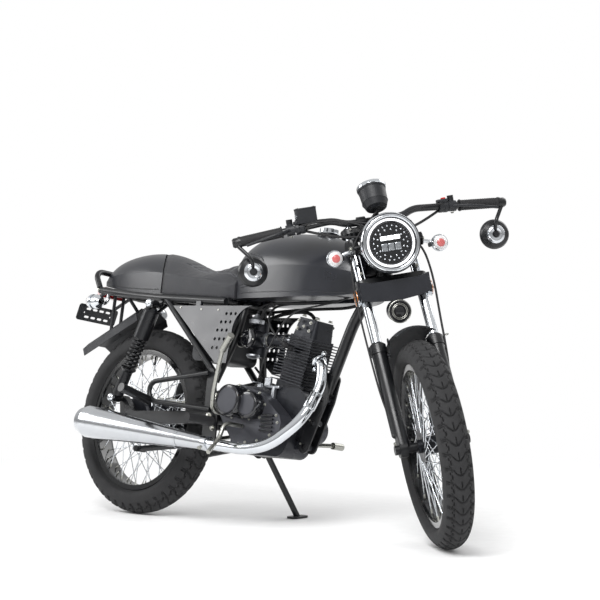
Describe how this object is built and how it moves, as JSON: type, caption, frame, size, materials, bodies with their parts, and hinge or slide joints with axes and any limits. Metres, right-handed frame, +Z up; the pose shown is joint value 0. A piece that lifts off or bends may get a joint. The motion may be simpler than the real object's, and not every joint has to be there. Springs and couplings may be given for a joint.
{
  "type": "motorcycle",
  "caption": "Cafe racer motorcycle with a single humped seat, air-cooled single-cylinder engine and wire wheels, parked on its side stand with the fork turned right",
  "frame": {"origin": "centre of the bounding box at floor level, with the machine leaning on its side stand", "axes": "+X forward along the machine, +Y to the rider's left, +Z up"},
  "size_m": [1.8812, 0.7642, 1.0954],
  "materials": {
    "tyre_rubber": "satin",
    "rim_black": "gloss",
    "spoke_chrome": "polished",
    "hub_dark": "satin",
    "frame_black": "gloss",
    "chrome": "polished",
    "cast_alloy": "satin",
    "engine_black": "satin",
    "brushed_steel": "brushed",
    "tank_paint": "gloss",
    "seat_leather": "matte",
    "trim_plastic": "matte",
    "lens_clear": "gloss",
    "lens_red": "gloss",
    "lens_amber": "gloss",
    "grip_rubber": "matte",
    "chain_steel": "satin"
  },
  "bodies": {
    "frame": {"head_tube": "frame_black", "downtube": "frame_black", "centre_frame": "frame_black", "seat_rails": "frame_black", "grab_hoop": "frame_black", "swing_arm": "frame_black", "shocks": "chrome", "rear_brake": "hub_dark", "drive_chain": "chain_steel", "crankcase": "engine_black", "cylinder": "engine_black", "cylinder_head": "engine_black", "engine_covers": "engine_black", "intake": "cast_alloy", "air_box": "trim_plastic", "exhaust_header": "chrome", "muffler": "brushed_steel", "foot_controls": "chrome", "rider_pegs": "grip_rubber", "passenger_rests": "frame_black", "tank": "tank_paint", "filler_cap": "chrome", "seat_pad": "seat_leather", "tail_cowl": "tank_paint", "side_panels": "tank_paint", "rear_mudguard": "trim_plastic", "plate_bracket": "frame_black", "tail_lamp": "lens_red", "rear_signals": "lens_amber"},
    "steering": {"fork_sliders": "frame_black", "fork_stanchions": "chrome", "yokes": "frame_black", "yoke_cover": "frame_black", "front_caliper": "cast_alloy", "front_mudguard": "tank_paint", "headlamp_shell": "frame_black", "headlamp_face": "lens_clear", "lamp_brackets": "frame_black", "front_signals": "lens_amber", "handlebar": "chrome", "grips": "grip_rubber", "hand_controls": "frame_black", "lever_perches": "frame_black", "levers": "chrome", "mirror_collars": "frame_black", "mirrors": "frame_black", "gauge": "frame_black"},
    "front_wheel": {"front_tyre": "tyre_rubber", "front_rim": "rim_black", "front_spokes": "spoke_chrome", "front_hub": "hub_dark"},
    "rear_wheel": {"rear_tyre": "tyre_rubber", "rear_rim": "rim_black", "rear_spokes": "spoke_chrome", "rear_hub": "hub_dark"},
    "centre_stand": {"centre_stand": "frame_black"},
    "side_stand": {"side_stand": "frame_black"}
  },
  "joints": [
    {"name": "steering", "type": "hinge", "parent": "frame", "child": "steering", "pos_m": [0.4181, -0.01407, 0.76855], "axis": [-0.4259, 0.1524, 0.8918], "range_deg": [0, 84]},
    {"name": "front_wheel", "type": "hinge", "parent": "steering", "child": "front_wheel", "pos_m": [0.68631, -0.12989, 0.30632], "axis": [0.6054, 0.7805, 0.1557], "continuous": true},
    {"name": "rear_wheel", "type": "hinge", "parent": "frame", "child": "rear_wheel", "pos_m": [-0.59109, -0.0918, 0.31377], "axis": [0, 0.9857, -0.1685], "continuous": true},
    {"name": "centre_stand", "type": "hinge", "parent": "frame", "child": "centre_stand", "pos_m": [-0.18108, -0.10207, 0.25369], "axis": [0, -0.9857, 0.1685], "range_deg": [0, 98]},
    {"name": "side_stand", "type": "hinge", "parent": "frame", "child": "side_stand", "pos_m": [-0.15108, 0.02551, 0.21667], "axis": [0.0587, 0.9035, 0.4245], "range_deg": [0, 92]}
  ]
}
